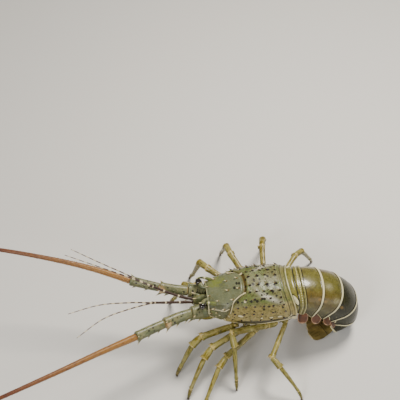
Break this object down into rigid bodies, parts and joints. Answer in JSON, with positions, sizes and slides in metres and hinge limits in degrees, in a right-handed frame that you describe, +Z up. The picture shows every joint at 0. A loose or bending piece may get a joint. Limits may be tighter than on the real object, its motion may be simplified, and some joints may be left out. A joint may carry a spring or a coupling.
{
  "type": "spiny lobster",
  "caption": "Life-size spiny lobster with thick spined antennae, standing on its legs with the banded tail curled under.",
  "frame": {"origin": "on the floor, under the middle of the bounding box", "axes": "+X towards the tail, so the head and the long antennae point to -X; +Y towards the animal's right side; +Z up"},
  "size_m": [0.5872, 0.2848, 0.1243],
  "materials": {
    "carapace_shell": "greenish grey-olive shell with dark spots, satin to glossy",
    "thorax_underside": "pale olive-cream, satin",
    "antenna_shell": "grey-green with cream spines, satin",
    "antenna_whip": "ochre to red-brown, satin",
    "antennule": "dark brown with pale bands, satin",
    "eye": "dark brown, glossy",
    "leg_shell": "olive yellow-green with cream streaks, satin",
    "tail_shell": "smooth olive green with cream bands, glossy",
    "swimmeret": "reddish brown with pale edges, satin",
    "tail_fan": "olive brown, satin"
  },
  "bodies": {
    "root": {"carapace": "carapace_shell", "sternum": "thorax_underside", "epistome": "antenna_shell", "antenna_base_left": "antenna_shell", "antenna_middle_left": "antenna_shell", "antenna_outer_left": "antenna_shell", "antenna_whip_left": "antenna_whip", "antenna_base_right": "antenna_shell", "antenna_middle_right": "antenna_shell", "antenna_outer_right": "antenna_shell", "antenna_whip_right": "antenna_whip", "antennule_stalk_left": "antennule", "antennule_flagella_left": "antennule", "antennule_stalk_right": "antennule", "antennule_flagella_right": "antennule", "eyestalk_left": "antenna_shell", "eye_left": "eye", "eyestalk_right": "antenna_shell", "eye_right": "eye", "maxilliped_left": "leg_shell", "maxilliped_right": "leg_shell", "leg_1_upper_left": "leg_shell", "leg_1_lower_left": "leg_shell", "leg_2_upper_left": "leg_shell", "leg_2_lower_left": "leg_shell", "leg_3_upper_left": "leg_shell", "leg_3_lower_left": "leg_shell", "leg_4_upper_left": "leg_shell", "leg_4_lower_left": "leg_shell", "leg_5_upper_left": "leg_shell", "leg_5_lower_left": "leg_shell", "leg_1_upper_right": "leg_shell", "leg_1_lower_right": "leg_shell", "leg_2_upper_right": "leg_shell", "leg_2_lower_right": "leg_shell", "leg_3_upper_right": "leg_shell", "leg_3_lower_right": "leg_shell", "leg_4_upper_right": "leg_shell", "leg_4_lower_right": "leg_shell", "leg_5_upper_right": "leg_shell", "leg_5_lower_right": "leg_shell", "abdomen_1": "tail_shell", "abdomen_2": "tail_shell", "abdomen_3": "tail_shell", "abdomen_4": "tail_shell", "abdomen_5": "tail_shell", "abdomen_6": "tail_shell", "swimmeret_2_left": "swimmeret", "swimmeret_3_left": "swimmeret", "swimmeret_4_left": "swimmeret", "swimmeret_5_left": "swimmeret", "swimmeret_2_right": "swimmeret", "swimmeret_3_right": "swimmeret", "swimmeret_4_right": "swimmeret", "swimmeret_5_right": "swimmeret", "telson": "tail_fan", "uropod_inner_left": "tail_fan", "uropod_inner_right": "tail_fan", "uropod_outer_left": "tail_fan", "uropod_outer_right": "tail_fan"}
  },
  "joints": []
}
